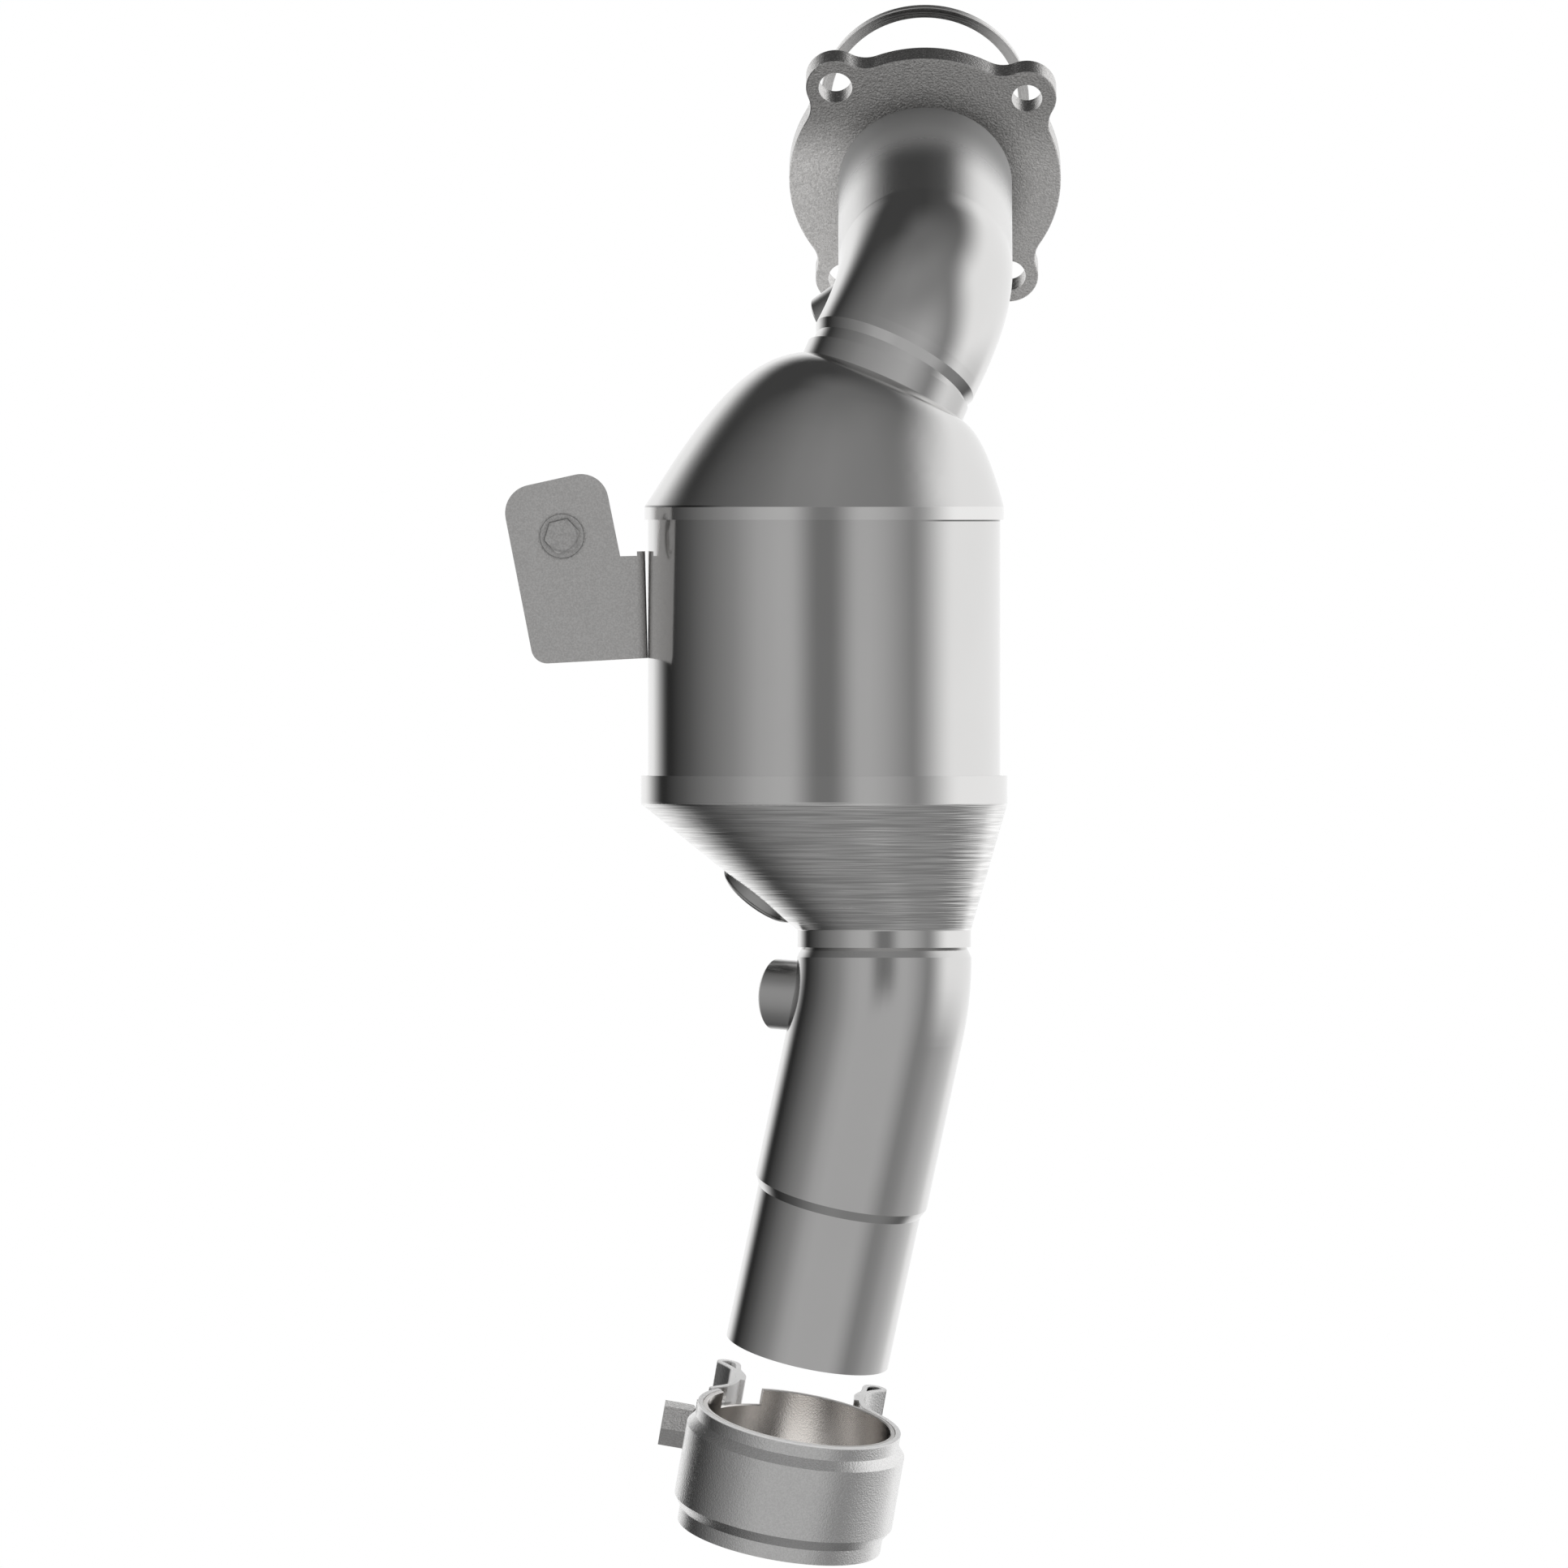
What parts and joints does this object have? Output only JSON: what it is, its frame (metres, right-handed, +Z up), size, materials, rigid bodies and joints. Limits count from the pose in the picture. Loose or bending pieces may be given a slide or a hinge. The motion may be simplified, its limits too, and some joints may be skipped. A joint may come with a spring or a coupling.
{
  "type": "catalytic converter",
  "caption": "Close-coupled exhaust converter: flanged bent inlet, domed and eccentric cones on a round can, slip-fit outlet, sensor bungs, hanger, loose gasket and band clamp.",
  "frame": {"origin": "centre of the pipe bore on the inlet flange's gasket face", "axes": "+Z up along the can's axis, towards the inlet; +Y away from the side that the picture shows; +X to the right of the hanger bracket"},
  "size_m": [0.2055, 0.2463, 0.5773],
  "materials": {
    "plate_steel": "blasted, matt",
    "gasket_steel": "brushed",
    "pipe_steel": "satin stainless",
    "turned_steel": "turned",
    "pressed_steel": "satin stainless",
    "can_steel": "satin stainless",
    "spun_steel": "spun, with turning lines",
    "mat_fibre": "fibre mat",
    "mesh_steel": "knitted wire",
    "brick_ceramic": "washcoated ceramic honeycomb",
    "bolt_steel": "matt",
    "clamp_steel": "blasted stainless",
    "sleeve_steel": "satin stainless"
  },
  "bodies": {
    "root": {"inlet_flange": "plate_steel", "gasket_ring": "gasket_steel", "inlet_elbow": "pipe_steel", "upper_sensor_bung": "turned_steel", "inlet_cone": "pressed_steel", "canister_shell": "can_steel", "support_mat": "mat_fibre", "inlet_mat_seal": "mesh_steel", "outlet_mat_seal": "mesh_steel", "catalyst_brick": "brick_ceramic", "outlet_cone": "spun_steel", "cone_boss": "turned_steel", "outlet_pipe": "pipe_steel", "lower_sensor_bung": "turned_steel", "hanger_bracket": "plate_steel", "bracket_bolt": "bolt_steel", "clamp_band": "clamp_steel", "clamp_sleeve": "sleeve_steel", "clamp_bolt": "bolt_steel", "clamp_nut": "bolt_steel", "nut_spacer": "bolt_steel", "head_spacer": "bolt_steel"}
  },
  "joints": []
}
